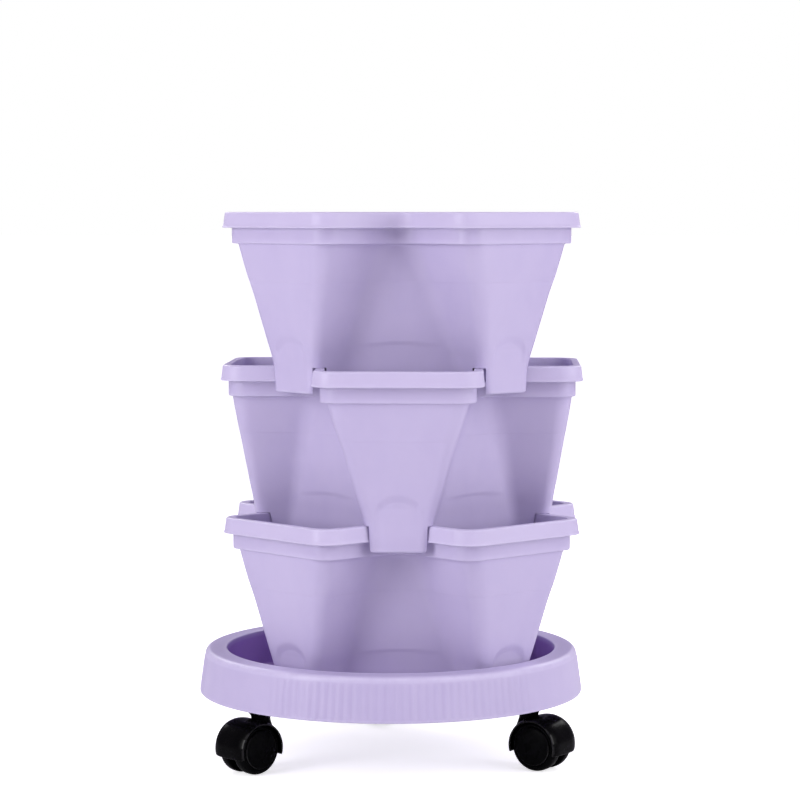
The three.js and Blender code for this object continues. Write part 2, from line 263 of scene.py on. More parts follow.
def panel_half(h):
    """Half width of the flat panel down the middle of each lobe's end, at height h above the pot's base."""
    return float(np.interp(h, [0, 41, 100, 174], [17.0, 20.4, 24.0, 25.0]))


END_COLUMNS = np.array([0, 0.25, 0.48, 0.68, 0.82, 0.91, 0.975, 1.04])


def octant(section, h):
    """Half a lobe's outline, from the lobe's middle line to the valley's, in the lobe's own frame."""
    end, half, corner, valley, fillet = section
    w = min(panel_half(h), (half - corner) / 1.06)
    flat = half - corner
    tangent = fillet * math.tan(math.pi / 8)
    join = valley * math.sqrt(2) - half
    ys = np.concatenate([w * END_COLUMNS, np.linspace(1.04 * w, flat, 5)[1:]])
    pts = [np.stack([np.full(len(ys), end), ys], 1)]
    a = np.linspace(0, math.pi / 2, 7)[1:]
    pts.append(np.stack([end - corner + corner * np.cos(a), half - corner + corner * np.sin(a)], 1))
    cx, cy = join + tangent, half + fillet
    xs = np.linspace(end - corner, cx, 5)[1:]
    pts.append(np.stack([xs, np.full(len(xs), half)], 1))
    a = -math.pi / 2 - np.linspace(0, math.pi / 4, 7)[1:]
    pts.append(np.stack([cx + fillet * np.cos(a), cy + fillet * np.sin(a)], 1))
    last = pts[-1][-1]
    mid = np.array([valley / math.sqrt(2), valley / math.sqrt(2)])
    w4 = np.linspace(0, 1, 5)[1:, None]
    pts.append(last * (1 - w4) + mid * w4)
    return np.vstack(pts)


def mould_detail(p, h):
    """The outside's shallow features on points of an octant at height h: the foot's arched niche, the tall end panel
    and the arched panel in the valley."""
    x, y = p[:, 0].copy(), p[:, 1].copy()
    u = np.abs(y)
    end = x.max()
    on_end = smooth((x - (end - 3.0)) / 2.0)
    w = panel_half(h)
    # arched niche above the upright foot, a shallow scoop
    ratio = np.clip(u / 22.0, 0, 1)
    outer = 39.5 + 18.0 * np.sqrt(1 - ratio ** 2)
    inner = 33.5 + 10.5 * np.sqrt(1 - ratio ** 2)
    s = smooth((outer - h) / (outer - inner))
    side = smooth((22.5 - u) / 5.5)
    depth = 0.78 * max(end - 147.0, 0.0)
    x -= on_end * depth * s * side
    # tall arched panel down the end and round its corners
    edge = float(np.interp(h, [0, 18, 43, 58, 75, 84, 89, 91.5], [33.5, 33, 31, 28.5, 24, 17, 10, 0]))
    x -= on_end * 0.26 * smooth((edge - u) / 1.8 + 0.5) * smooth((91.5 - h) / 2.0)
    # arched panel in the valley
    along, across = (x + y) / math.sqrt(2), (x - y) / math.sqrt(2)
    arch_v = 48.5 - 4.2 * np.clip(np.abs(across) / 38.0, 0, 1.2) ** 2
    deep = 0.9 * smooth((arch_v - h) / 1.6 + 0.5) * smooth((38.5 - np.abs(across)) / 3.0)
    x -= deep / math.sqrt(2)
    y -= deep / math.sqrt(2)
    return np.stack([x, y], 1)


def lobed_ring(section, t, detail=False):
    h = POT_HEIGHT - t
    half_lobe = octant(section, h)
    if detail:
        half_lobe = mould_detail(half_lobe, h)
        half_lobe[0, 1] = 0.0
        half_lobe[-1] = half_lobe[-1].mean()
    whole = np.vstack([(half_lobe * [1, -1])[::-1], half_lobe[1:]])[:-1]
    out = []
    for lobe in range(4):
        c, s = math.cos(lobe * math.pi / 2), math.sin(lobe * math.pi / 2)
        out.append(np.stack([c * whole[:, 0] - s * whole[:, 1], s * whole[:, 0] + c * whole[:, 1], np.full(len(whole), h)], 1))
    return np.vstack(out)


def scaled_ring(r, k, z=None):
    q = r.copy()
    q[:, :2] *= k
    if z is not None:
        q[:, 2] = z
    return q


def pot_rings():
    rings = []
    base_r = 2.8
    bottom = inset(body_section(POT_HEIGHT), base_r)
    first = lobed_ring(bottom, POT_HEIGHT)
    for k in (0.12, 0.3, 0.5, 0.7, 0.86, 0.95):
        rings.append(scaled_ring(first, k))
    for a in np.linspace(0, 90, 7):
        d = base_r * (1 - math.sin(math.radians(a)))
        t = POT_HEIGHT - base_r * (1 - math.cos(math.radians(a)))
        rings.append(lobed_ring(inset(body_section(t), d), t, detail=True))
    heights = list(np.arange(4.4, 62.0, 1.6)) + list(np.arange(63.0, 105.0, 3.0)) + [105.8, 106.6, 106.95, 107.25, 107.6, 108.6]
    heights += list(np.arange(110.0, 128.0, 2.0)) + [131.0, 135.0, 139.0, 142.4]
    for h in heights:
        # the upper part stands a hair proud of the lower, where the mould's halves met
        proud = 0.16 * float(smooth((h - 107.0) / 0.5 + 0.5) * smooth((142.0 - h) / 10.0))
        rings.append(lobed_ring(inset(body_section(POT_HEIGHT - h), -proud), POT_HEIGHT - h, detail=True))
    # under the band: a small hollow fillet, then the band's rounded lower edge
    top_body = body_section(BODY_TOP)
    edge = 1.3
    for w, t in ((0.06, 31.05), (0.2, 30.75), (0.5, 30.55), (0.85, 30.5)):
        rings.append(lobed_ring(blend_sections(top_body, inset(BAND, edge), w), t))
    for a in np.linspace(0, 90, 6):
        d = edge * (1 - math.sin(math.radians(a)))
        rings.append(lobed_ring(inset(BAND, d), 30.5 - edge * (1 - math.cos(math.radians(a)))))
    for t in (25.0, 20.0, 15.0, 9.0, 4.5):
        rings.append(lobed_ring(BAND, t))
    rings.append(lobed_ring(inset(BAND, -0.5), 3.0))
    rings.append(lobed_ring(inset(BAND, -1.6), 2.5))
    # down the inside of the skirt, round its lip and up the outside
    def skirt(t):
        w = 0.45 * min(t / 11.0, 1.0) + (0.55 * (max(t - 11.0, 0) / 4.3) ** 1.6 if t > 11.0 else 0.0)
        return blend_sections(RIM_TOP, RIM_LIP, min(w, 1.0))
    rings.append(lobed_ring(inset(skirt(2.5), 3.6), 2.5))
    rings.append(lobed_ring(inset(skirt(3.2), 2.6), 3.2))
    for t in (5.0, 8.0, 11.0, 13.0):
        rings.append(lobed_ring(inset(skirt(t), 2.3), t))
    lip = 1.05
    low = RIM_DEPTH - lip
    for a in np.linspace(180, 360, 9):
        mid = inset(skirt(low), lip)
        rings.append(lobed_ring(inset(mid, -lip * math.cos(math.radians(a))), low - lip * math.sin(math.radians(a))))
    for t in (13.2, 12.0, 10.8, 9.0, 7.0, 5.0, 3.2, 2.0):
        rings.append(lobed_ring(skirt(t), t))
    round_top = 1.7
    for a in np.linspace(15, 90, 6):
        d = round_top * (1 - math.cos(math.radians(a)))
        t = round_top * (1 - math.sin(math.radians(a)))
        rings.append(lobed_ring(inset(skirt(t), d), t))
    # the flat top, its inner edge and down the inside
    inner_edge = 0.9
    rings.append(lobed_ring(blend_sections(inset(RIM_TOP, round_top), inset(BAND, POT_WALL - inner_edge), 0.5), 0.0))
    for a in np.linspace(90, 0, 5):
        d = inner_edge * (1 - math.cos(math.radians(a)))
        t = inner_edge * (1 - math.sin(math.radians(a)))
        rings.append(lobed_ring(inset(BAND, POT_WALL - d), t))
    for t in (6.0, 14.0, 22.0, 27.0):
        rings.append(lobed_ring(inset(BAND, POT_WALL + 0.5 * t / 28), t))
    inside_top = inset(body_section(BODY_TOP), POT_WALL)
    rings.append(lobed_ring(blend_sections(inset(BAND, POT_WALL + 0.5), inside_top, 0.2), 28.2))
    rings.append(lobed_ring(blend_sections(inset(BAND, POT_WALL + 0.5), inside_top, 0.75), 28.7))
    rings.append(lobed_ring(inside_top, 29.6))
    for t in (34.0, 44.0, 56.0, 70.0, 84.0, 98.0, 112.0, 126.0, 138.0, 148.0, 158.0, 165.0):
        rings.append(lobed_ring(inset(body_section(t), POT_WALL), t))
    floor_t = POT_HEIGHT - POT_WALL
    r_in = 4.0
    for a in np.linspace(0, 90, 6)[1:]:
        d = POT_WALL + r_in * (1 - math.cos(math.radians(a)))
        t = floor_t - r_in * (1 - math.sin(math.radians(a)))
        rings.append(lobed_ring(inset(body_section(t), d), t))
    last = rings[-1]
    for k in (0.95, 0.86, 0.7, 0.5, 0.3, 0.12):
        rings.append(scaled_ring(last, k))
    return rings


def core_body(name, d, z0, z1):
    rings = [lobed_ring(inset(body_section(min(POT_HEIGHT - z, POT_HEIGHT)), d), POT_HEIGHT - z) for z in (z0, z1)]
    for r, z in zip(rings, (z0, z1)):
        r[:, 2] = z
    v, f = loft(rings)
    return mesh_object(name, v, f)


def beyond_notch(start, flat):
    reach = 60.0
    return [(start, -flat), (start + (reach - flat), -reach), (260, -reach), (260, reach), (start + (reach - flat), reach), (start, flat)]


def four(name, outline, z0, z1):
    out = []
    for lobe in range(4):
        c, s = math.cos(lobe * math.pi / 2), math.sin(lobe * math.pi / 2)
        out.append(prism(f"{name}{lobe}", [(c * x - s * y, s * x + c * y) for x, y in outline], z0, z1))
    return joined(name, out)


def make_pot():
    v, f = loft(pot_rings())
    pot = mesh_object("pot_pattern", v, f)
    blocks = four("blocks", beyond_notch(NOTCH_INNER - POT_WALL, NOTCH_FLAT_INNER + 1), 0.6, NOTCH_ROOF + POT_WALL)
    boolean(blocks, core_body("core", POT_WALL / 2, 0.4, NOTCH_ROOF + POT_WALL + 0.2), "INTERSECT")
    boolean(pot, blocks, "UNION")
    beyond = four("beyond", beyond_notch(NOTCH_INNER, NOTCH_FLAT_INNER), -1, NOTCH_ROOF)
    boolean(beyond, core_body("hollow", POT_WALL, -2, NOTCH_ROOF + 1), "INTERSECT")
    boolean(pot, beyond, "DIFFERENCE")
    a, b, fa, fb, reach = NOTCH_INNER, NOTCH_OUTER, NOTCH_FLAT_INNER, NOTCH_FLAT_OUTER, 45.0
    slot = [(a, fa), (a + (reach - fa), reach), (b + (reach - fb), reach), (b, fb), (b, -fb), (b + (reach - fb), -reach), (a + (reach - fa), -reach), (a, -fa)]
    boolean(pot, four("slots", slot, -1, NOTCH_ROOF), "DIFFERENCE")
    drills = []
    places = [(0, 0)] + [(DRAIN_RING * math.cos(i * math.pi / 2), DRAIN_RING * math.sin(i * math.pi / 2)) for i in range(4)]
    for i, (x, y) in enumerate(places):
        # a small flare at both mouths of each hole
        d = lathe(f"drill{i}", [(0, -3), (DRAIN_RADIUS + 3.6, -3), (DRAIN_RADIUS, 0.6), (DRAIN_RADIUS, 1.9), (DRAIN_RADIUS + 3.7, 5.6), (0, 5.6)], 28)
        transform_mm(d, Matrix.Translation((x, y, 0)))
        drills.append(d)
    boolean(pot, joined("drills", drills), "DIFFERENCE")
    finish_surface(pot)
    return pot


def wear_and_highlights_of_pot(mesh):
    n = len(mesh.vertices)
    co = np.zeros(n * 3, np.float32)
    mesh.vertices.foreach_get("co", co)
    z = co.reshape(-1, 3)[:, 2] / MM
    wear_and_highlight = np.zeros(n, np.float32)
    # lighter bands on the rim's top edge, the skirt's lip, the band's lower edge and the base's edge: partly rubbed
    # wear, partly painted highlight where these rounded edges catch the light
    wear_and_highlight = np.maximum(wear_and_highlight, 0.9 * np.exp(-((z - 173.6) / 0.8) ** 2))
    wear_and_highlight = np.maximum(wear_and_highlight, 0.8 * np.exp(-((z - 159.4) / 0.8) ** 2))
    wear_and_highlight = np.maximum(wear_and_highlight, 0.6 * np.exp(-((z - 144.2) / 0.7) ** 2))
    wear_and_highlight = np.maximum(wear_and_highlight, 0.7 * np.exp(-((z - 0.7) / 1.2) ** 2))
    attribute = mesh.attributes.new("wear_and_highlight", "FLOAT", "POINT")
    attribute.data.foreach_set("value", wear_and_highlight.astype(np.float32))
    # painted highlight: the skirt is painted lighter than the body, standing in for the stronger light its face catches
    co = co.reshape(-1, 3) / MM
    skirt = smooth((z - 157.5) / 1.5)
    attribute = mesh.attributes.new("skirt", "FLOAT", "POINT")
    attribute.data.foreach_set("value", skirt.astype(np.float32))


# ------------------------------------------------------------------ saucer
def caster_place(angle):
    a = math.radians(angle)
    return CASTER_RING * math.sin(a), -CASTER_RING * math.cos(a)


def flute_wave(angles):
    """Even flutes about 8 mm apart, a little uneven in strength as on a worn mould, from -1 to 1."""
    w = 0.72 * np.sin(150 * angles) + 0.20 * np.sin(111 * angles + 1.3) + 0.13 * np.sin(66 * angles + 0.4)
    return w * (0.85 + 0.15 * np.sin(9 * angles + 0.8))


def flutes(angles, r, z):
    """Fine upright flutes on the saucer's side, fading under the shoulder and near each caster."""
    if r < 185.5 or z < 67.3:
        return 0.0
    front = np.degrees(angles) + 90.0                     # angle from the front, -Y
    near = np.full(len(angles), 180.0)
    for a, _ in CASTERS.values():
        near = np.minimum(near, np.abs((front - a + 180.0) % 360.0 - 180.0))
    along = smooth((near - 15.0) / 10.0)
    fade = float(smooth((104.2 - z) / 4.0) * smooth((z - 67.3) / 2.5))
    return 0.58 * flute_wave(angles) * along * fade


def make_saucer():
    under = [(0, FLOOR_UNDER)] + [(r, FLOOR_UNDER) for r in (6, 30, 60, 90, 115, 135, 150, 160)]
    under += arc(163.3, FLOOR_UNDER + 2.0, 2.0, -90, -3, 4)
    under += [(165.6, 82), (166.1, 92), (166.6, 102)]
    under += arc(168.0, 106.1, 1.4, 180, 90, 4)
    under += [(172, 107.5), (178, 107.5)] + arc(181.0, 105.2, 2.3, 90, 12, 4)
    under += [(184.1, 103.0), (185.6, 92), (187.2, 80), (188.6, 68.9)]
    foot = arc(190.15, 67.85, 1.35, 188, 352, 7)
    side = []
    for z in (69.6, 71.0, 74, 78, 83, 88, 93, 97, 98.5, 100, 101.5, 103.0):
        side.append((191.5 - (z - 66.5) * (191.5 - 186.3) / (103.8 - 66.5), z))
    shoulder = arc(180.3, 104.1, 5.9, 4, 86, 9)
    # the ring lies very slightly crowned and ends in a thin rounded lip round the basin
    ring = [(177.5, 109.98), (174, 109.9), (170.5, 109.85), (167.6, 109.9)]
    lip = arc(165.5, 108.9, 1.25, 76, 186, 7)
    basin = [(164.1, 104), (163.9, 97), (163.6, 89), (163.3, 81), (163.1, 77.2)]
    fillet = arc(159.3, 76.6, 3.8, -3, -88, 6)
    floor = [(r, FLOOR_TOP) for r in (154, 143, 128, 110, 90, 70, 48, 24)] + [(0, FLOOR_TOP)]
    profile = under + foot + side + shoulder + ring + lip + basin + fillet + floor
    saucer = lathe("saucer_moulding", profile, 720, wave=flutes)
    # stiffening ribs under the floor, with rounded lower edges
    ribs = []
    for i in range(12):
        section = [(-1, 71.0), (-1, 64.2), (-0.7, 63.7), (-0.3, 63.5), (0.3, 63.5), (0.7, 63.7), (1, 64.2), (1, 71.0)]
        rows = []
        for x in (21.0, 60.0, 100.0, 140.0, 163.4):
            rows.append([(x, y, z) for y, z in section])
        v, f = loft(rows)
        rib = mesh_object(f"rib{i}", v, f)
        transform_mm(rib, Matrix.Rotation((i + 0.5) * math.pi / 6, 4, "Z"))
        ribs.append(rib)
    boolean(saucer, joined("ribs", ribs), "UNION")
    hub = lathe("hub", [(20, 71), (20, 64.0), (20.4, 63.6), (20.9, 63.5), (22.1, 63.5), (22.6, 63.6), (23, 64.0), (23, 71)], 72)
    boolean(saucer, hub, "UNION")
    bosses, holes = [], []
    for k, (angle, _) in CASTERS.items():
        x, y = caster_place(angle)
        b = lathe("boss" + k, [(0, 60.8), (12.2, 60.8), (12.75, 61.0), (13, 61.6), (13, 68.4), (13.6, 69.6), (15.2, 70.6), (15.2, 71.2), (0, 71.2)], 56)
        transform_mm(b, Matrix.Translation((x, y, 0)))
        bosses.append(b)
        h = lathe("hole" + k, [(0, 58), (8.5, 58), (8.5, 60.8), (7.7, 61.6), (7.7, 70.4), (0, 70.4)], 48)
        transform_mm(h, Matrix.Translation((x, y, 0)))
        holes.append(h)
    boolean(saucer, joined("bosses", bosses), "UNION")
    gate = lathe("gate", [(0, 69.4), (3.2, 69.4), (3.7, 69.7), (3.9, 70.2), (3.9, 70.8), (0, 70.8)], 32)
    boolean(saucer, gate, "UNION")
    boolean(saucer, joined("holes", holes), "DIFFERENCE")
    finish_surface(saucer, angle=30)
    mesh = saucer.data
    n = len(mesh.vertices)
    co = np.zeros(n * 3, np.float32)
    mesh.vertices.foreach_get("co", co)
    co = co.reshape(-1, 3) / MM
    r = np.hypot(co[:, 0], co[:, 1])
    # painted shade: the basin inside the saucer's lip, its walls and floor, is marked for darkening
    painted_basin_shade = smooth((164.75 - r) / 0.5) * smooth((co[:, 2] - (FLOOR_TOP - 1.0)) / 0.8) * smooth((109.2 - co[:, 2]) / 1.0)
    attribute = mesh.attributes.new("basin", "FLOAT", "POINT")
    attribute.data.foreach_set("value", painted_basin_shade.astype(np.float32))
    # lighter lines on the shoulder, the foot's lower edge and the basin's lip: partly wear, partly painted highlight
    wear_and_highlight = np.maximum(0.8 * np.exp(-((r - 185.0) / 1.6) ** 2) * (co[:, 2] > 104), 0.8 * (r > 185) * np.exp(-((co[:, 2] - 66.9) / 0.9) ** 2))
    wear_and_highlight = np.maximum(wear_and_highlight, 0.8 * np.exp(-((r - 164.9) / 0.9) ** 2) * (co[:, 2] > 108.4))
    # painted shade: the grooves between the flutes are marked darker, following the same wave
    angles = np.arctan2(co[:, 1], co[:, 0])
    front = np.degrees(angles) + 90.0
    near = np.full(n, 180.0)
    for a, _ in CASTERS.values():
        near = np.minimum(near, np.abs((front - a + 180.0) % 360.0 - 180.0))
    painted_groove_shade = (0.5 - 0.5 * flute_wave(angles)) * smooth((near - 15.0) / 10.0) * smooth((104.2 - co[:, 2]) / 4.0) * smooth((co[:, 2] - 67.3) / 2.5) * (r > 185.0)
    attribute = mesh.attributes.new("groove", "FLOAT", "POINT")
    attribute.data.foreach_set("value", painted_groove_shade.astype(np.float32))
    attribute = mesh.attributes.new("wear_and_highlight", "FLOAT", "POINT")
    attribute.data.foreach_set("value", wear_and_highlight.astype(np.float32))
    return saucer


# ------------------------------------------------------------------ casters
# A caster's own frame: swivel axis on Z, wheels trail towards +X, axle along Y.
def hood_radius(y):
    return HOOD_RADIUS - 2.6 * (np.abs(y) / HOOD_HALF_WIDTH) ** 4.5


def mark_edge(obj, rule):
    """Stores how far each point belongs to a rolled edge, from 0 to 1."""
    mesh = obj.data
    co = np.zeros(len(mesh.vertices) * 3, np.float32)
    mesh.vertices.foreach_get("co", co)
    x, y, z = co.reshape(-1, 3).T / MM
    attribute = mesh.attributes.new("edge", "FLOAT", "POINT")
    attribute.data.foreach_set("value", np.asarray(rule(x, y, z), np.float32))


def make_hood(name):
    thick = 1.8
    ys = np.concatenate([np.linspace(-20.2, 20.2, 27)])
    outer_r = hood_radius(ys)
    inner_r = outer_r - thick
    # a rounded bead closes both side edges
    e = 20.2
    ro, ri = float(hood_radius(np.array([e]))[0]), float(hood_radius(np.array([e]))[0]) - thick
    mid, rad = (ro + ri) / 2, (ro - ri) / 2
    right = [(e + rad * 0.9 * math.cos(a), mid + rad * math.sin(a)) for a in np.linspace(math.pi / 2, -math.pi / 2, 7)[1:-1]]
    left = [(-y, r) for y, r in right[::-1]]
    loop = [(y, r) for y, r in zip(ys, outer_r)] + right + [(y, r) for y, r in zip(ys[::-1], inner_r[::-1])] + left
    loop = np.array(loop)
    # the mean line between outer and inner skins, towards which the lower edges round off
    centre_r = hood_radius(np.clip(loop[:, 0], -e, e)) - thick / 2
    centre_y = np.clip(loop[:, 0], -e + 0.2, e - 0.2)
    edge = math.asin(HOOD_EDGE_DROP / HOOD_RADIUS)
    rows = []
    tail = [(0.0, 0.05), (0.25, 0.45), (0.6, 0.8), (1.1, 0.96), (1.8, 1.0)]
    start, stop = -edge, math.pi + edge
    angles = [(start + d / HOOD_RADIUS, k) for d, k in tail]
    angles += [(a, 1.0) for a in np.linspace(start + 4.0 / HOOD_RADIUS, stop - 4.0 / HOOD_RADIUS, 52)]
    angles += [(stop - d / HOOD_RADIUS, k) for d, k in tail[::-1]]
    for a, k in angles:
        r = centre_r + (loop[:, 1] - centre_r) * k
        y = centre_y + (loop[:, 0] - centre_y) * k
        rows.append(np.stack([TRAIL + r * math.cos(a), y, WHEEL_RADIUS + r * math.sin(a)], 1))
    n = len(loop)
    verts = np.vstack(rows)
    faces = []
    for k in range(len(rows) - 1):
        for i in range(n):
            j = (i + 1) % n
            faces.append((k * n + i, k * n + j, (k + 1) * n + j, (k + 1) * n + i))
    m = len(ys)
    for base, flip in ((0, False), ((len(rows) - 1) * n, True)):
        # strip between the outer points and the inner points that face them
        outer_ids = [base + i for i in range(m)]
        inner_ids = [base + m + len(right) + (m - 1 - i) for i in range(m)]
        for i in range(m - 1):
            q = (outer_ids[i], inner_ids[i], inner_ids[i + 1], outer_ids[i + 1])
            faces.append(q[::-1] if flip else q)
        right_ids = [outer_ids[-1]] + [base + m + i for i in range(len(right))] + [inner_ids[-1]]
        left_ids = [inner_ids[0]] + [base + m + len(right) + m + i for i in range(len(left))] + [outer_ids[0]]
        for ids in (right_ids, left_ids):
            faces.append(tuple(ids) if flip else tuple(ids[::-1]))
    hood = mesh_object(name, verts, faces)
    # centre web between the wheels, rounded round its outline
    web_r = HOOD_RADIUS - 1.0
    web_edge = math.asin((HOOD_EDGE_DROP - 0.6) / web_r)
    web_rows = []
    for y, d in ((-5.0, 0.7), (-4.75, 0.2), (-4.3, 0.0), (0.0, 0.0), (4.3, 0.0), (4.75, 0.2), (5.0, 0.7)):
        r = web_r - d
        z_low = WHEEL_RADIUS - (HOOD_EDGE_DROP - 0.6) + d
        pts = []
        for a in np.linspace(-web_edge, math.pi + web_edge, 49):
            pts.append((TRAIL + r * math.cos(a), y, max(WHEEL_RADIUS + r * math.sin(a), z_low)))
        web_rows.append(pts)
    v, f = loft(web_rows)
    boolean(hood, mesh_object("web", v, f), "UNION")
    boss = lathe("axle_boss", [(0, -5.35), (5.6, -5.35), (6.1, -5.1), (6.2, -4.6), (6.2, 4.6), (6.1, 5.1), (5.6, 5.35), (0, 5.35)], 40)
    transform_mm(boss, Matrix.Translation((TRAIL, 0, WHEEL_RADIUS)) @ Matrix.Rotation(math.pi / 2, 4, "X"))
    boolean(hood, boss, "UNION")
    # neck round the stem, flared into the hood below and into its flat top
    neck = lathe("neck", [(0, 36), (14.0, 36), (12.6, 41), (11.2, 45), (10.1, 48.4), (9.5, 50.6), (9.35, 52.4), (9.7, 54.2), (10.6, 55.9), (11.7, 57.0), (12.1, 57.3), (12.1, 57.5), (11.9, 57.7), (0, 57.7)], 56)
    room = lathe("room", [(0, -24), (26.3, -24), (26.3, 24), (0, 24)], 96)
    transform_mm(room, Matrix.Translation((TRAIL, 0, WHEEL_RADIUS)) @ Matrix.Rotation(math.pi / 2, 4, "X"))
    boolean(neck, room, "DIFFERENCE")
    boolean(hood, neck, "UNION")
    hole = lathe("stem_hole", [(0, 33.7), (3.8, 33.7), (3.8, 57.2), (4.6, 58.2), (4.6, 60), (0, 60)], 32)
    boolean(hood, hole, "DIFFERENCE")
    pin = lathe("axle_hole", [(0, -15), (3.3, -15), (3.3, 15), (0, 15)], 32)
    transform_mm(pin, Matrix.Translation((TRAIL, 0, WHEEL_RADIUS)) @ Matrix.Rotation(math.pi / 2, 4, "X"))
    boolean(hood, pin, "DIFFERENCE")
    finish_surface(hood, angle=32)
    mark_edge(hood, lambda x, y, z: 0.4 * smooth((np.abs(y) - 20.0) / 0.4) * smooth((np.hypot(x - TRAIL, z - WHEEL_RADIUS) - 23.0) / 0.4))
    return hood


def make_wheel(name, side):
    """Turned about Y: a domed disc with a rolled edge, a groove round it, a rounded shoulder and a flat inner face."""
    dome = [(0, 20.35), (3, 20.33), (6, 20.24), (9, 20.08), (12, 19.82), (14.5, 19.5), (16.5, 19.15), (17.6, 18.93)]
    groove = [(18.0, 18.82), (18.4, 18.63), (18.75, 18.28), (19.0, 17.82), (19.15, 17.3), (19.35, 17.05), (19.65, 17.0), (19.9, 17.15), (20.15, 17.5), (20.45, 17.75)]
    shoulder = [(20.9, 17.8), (21.5, 17.58), (22.3, 17.05), (23.1, 16.3), (23.9, 15.25), (24.5, 14.0), (24.86, 12.6), (25.0, 11.2)]
    tread = [(25.0, 9.4), (25.0, 7.6), (24.85, 6.6), (24.4, 5.9), (23.8, 5.65), (23.0, 5.6)]
    inner = [(14.0, 5.6), (9.0, 5.6), (3.9, 5.6), (3.4, 5.9), (3.3, 6.4), (3.3, 19.0), (0, 19.0)]
    wheel = lathe(name, dome + groove + shoulder + tread + inner, 96)
    turn = Matrix.Rotation(-math.pi / 2 if side > 0 else math.pi / 2, 4, "X")
    transform_mm(wheel, Matrix.Translation((TRAIL, 0, WHEEL_RADIUS)) @ turn)
    finish_surface(wheel, angle=40)
    mark_edge(wheel, lambda x, y, z: 0.6 * np.exp(-((np.hypot(x - TRAIL, z - WHEEL_RADIUS) - 18.75) / 0.35) ** 2) * (np.abs(y) > 16.0))
    return wheel


def make_axle(name):
    axle = lathe(name, [(0, -18.5), (2.5, -18.5), (2.85, -18.3), (3.0, -17.9), (3.0, -17.0), (3.0, 0), (3.0, 17.0), (3.0, 17.9), (2.85, 18.3), (2.5, 18.5), (0, 18.5)], 40)
    transform_mm(axle, Matrix.Translation((TRAIL, 0, WHEEL_RADIUS)) @ Matrix.Rotation(math.pi / 2, 4, "X"))
    return finish_surface(axle, angle=40)


def make_stem(name):
    stem = lathe(name, [(0, 34), (2.9, 34), (3.3, 34.2), (3.5, 34.7), (3.5, 50), (3.5, 64.0), (3.4, 64.3), (2.9, 64.6), (2.8, 64.9), (2.8, 65.6), (2.9, 65.9), (3.4, 66.1), (3.5, 66.4), (3.45, 67.2), (3.1, 67.9), (2.6, 68.2), (0, 68.2)], 40)
    return finish_surface(stem, angle=40)


def make_socket(name):
    flange = [(4.3, 58.0), (11.6, 58.0), (12.1, 58.1), (12.9, 58.6), (14.0, 59.3), (14.8, 59.7), (15.0, 59.95), (15.0, 60.25), (14.8, 60.5), (7.9, 60.5), (7.2, 60.9)]
    barrel = [(7.2, 62.6), (7.35, 62.9), (7.35, 63.5), (7.2, 63.8), (7.2, 65.2), (7.35, 65.5), (7.35, 66.1), (7.2, 66.4), (7.2, 67.8), (6.9, 68.4), (6.4, 68.6)]
    bore = [(4.4, 68.6), (3.95, 68.3), (3.8, 67.8), (3.8, 58.6), (3.95, 58.15)]
    socket = lathe(name, flange + barrel + bore, 56)
    return finish_surface(socket, angle=34)


# ------------------------------------------------------------------ materials
def new_material(name):
    mat = bpy.data.materials.new(name)
    mat.use_nodes = True
    tree = mat.node_tree
    tree.nodes.clear()
    out = tree.nodes.new("ShaderNodeOutputMaterial")
    bsdf = tree.nodes.new("ShaderNodeBsdfPrincipled")
    tree.links.new(bsdf.outputs["BSDF"], out.inputs["Surface"])
    return mat, tree, bsdf


def noise(tree, coords, scale, detail=3.0, rough=0.5):
    n = tree.nodes.new("ShaderNodeTexNoise")
    n.inputs["Scale"].default_value = scale
    n.inputs["Detail"].default_value = detail
    n.inputs["Roughness"].default_value = rough
    tree.links.new(coords, n.inputs["Vector"])
    return n.outputs["Fac"]


def stretch(tree, coords, x, y, z):
    m = tree.nodes.new("ShaderNodeMapping")
    m.inputs["Scale"].default_value = (x, y, z)
    tree.links.new(coords, m.inputs["Vector"])
    return m.outputs["Vector"]


def ramp(tree, value, lo, hi, a=0.0, b=1.0):
    r = tree.nodes.new("ShaderNodeMapRange")
    r.inputs["From Min"].default_value = lo
    r.inputs["From Max"].default_value = hi
    r.inputs["To Min"].default_value = a
    r.inputs["To Max"].default_value = b
    tree.links.new(value, r.inputs["Value"])
    return r.outputs["Result"]


def maths(tree, kind, a, b):
    m = tree.nodes.new("ShaderNodeMath")
    m.operation = kind
    for socket, value in zip(m.inputs, (a, b)):
        if isinstance(value, (int, float)):
            socket.default_value = value
        else:
            tree.links.new(value, socket)
    return m.outputs["Value"]


def mix_colour(tree, fac, a, b):
    m = tree.nodes.new("ShaderNodeMix")
    m.data_type = "RGBA"
    if isinstance(fac, (int, float)):
        m.inputs["Factor"].default_value = fac
    else:
        tree.links.new(fac, m.inputs["Factor"])
    for key, value in (("A", a), ("B", b)):
        socket = [s for s in m.inputs if s.name == key and s.type == "RGBA"][0]
        if isinstance(value, tuple):
            socket.default_value = (*value, 1.0)
        else:
            tree.links.new(value, socket)
    return [s for s in m.outputs if s.type == "RGBA"][0]


def attribute(tree, name):
    a = tree.nodes.new("ShaderNodeAttribute")
    a.attribute_name = name
    return a.outputs["Fac"]


def bump(tree, height, distance, strength, normal=None):
    b = tree.nodes.new("ShaderNodeBump")
    b.inputs["Strength"].default_value = strength
    b.inputs["Distance"].default_value = distance
    tree.links.new(height, b.inputs["Height"])
    if normal is not None:
        tree.links.new(normal, b.inputs["Normal"])
    return b.outputs["Normal"]


